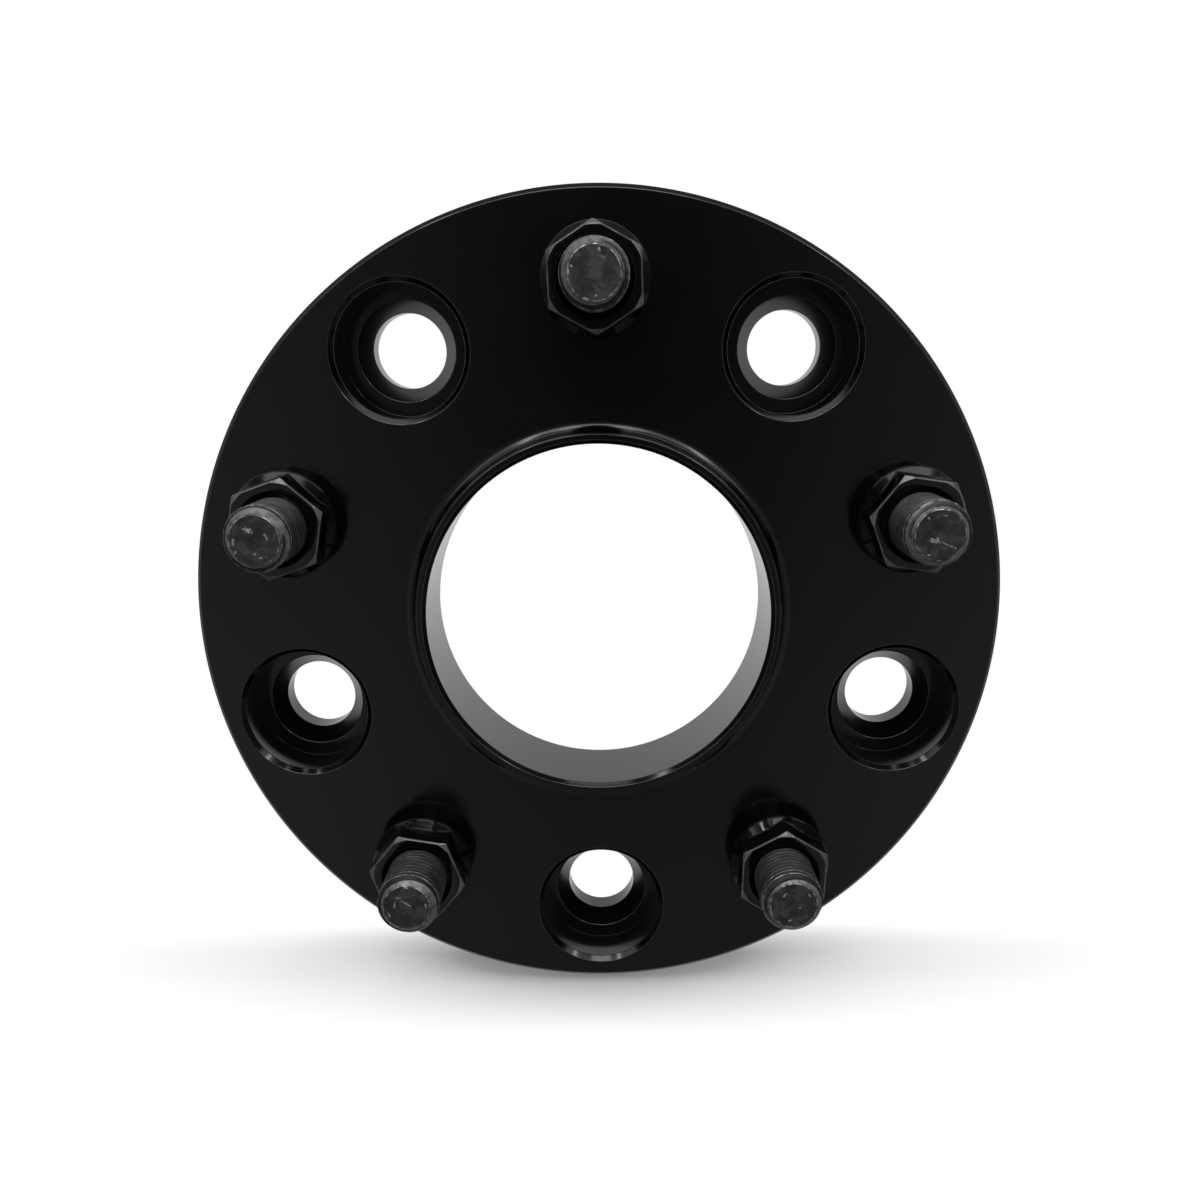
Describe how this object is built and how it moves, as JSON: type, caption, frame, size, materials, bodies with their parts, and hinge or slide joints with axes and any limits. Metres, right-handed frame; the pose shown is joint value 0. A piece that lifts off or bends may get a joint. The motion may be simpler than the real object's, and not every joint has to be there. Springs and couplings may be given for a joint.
{
  "type": "wheel spacer",
  "caption": "Bolt-on wheel spacer: a black disc with a centring lip, recessed lug holes, press-in studs and an open-ended nut on each stud.",
  "frame": {"origin": "centre of the hub bore at the back face, which seats on the vehicle's hub and on which it lies", "axes": "+Z along the disc's axis towards the wheel, +Y from the axis towards the first stud"},
  "size_m": [0.161, 0.161, 0.046],
  "materials": {
    "anodised_disc": "black anodised, satin with fine machining marks",
    "stud_steel": "grey phosphated steel, worn bright at the tip",
    "nut_coating": "black electrocoated steel, semi-gloss"
  },
  "bodies": {
    "root": {"spacer_body": "anodised_disc", "wheel_stud_1": "stud_steel", "wheel_stud_2": "stud_steel", "wheel_stud_3": "stud_steel", "wheel_stud_4": "stud_steel", "wheel_stud_5": "stud_steel", "lug_nut_1": "nut_coating", "lug_nut_2": "nut_coating", "lug_nut_3": "nut_coating", "lug_nut_4": "nut_coating", "lug_nut_5": "nut_coating"}
  },
  "joints": []
}
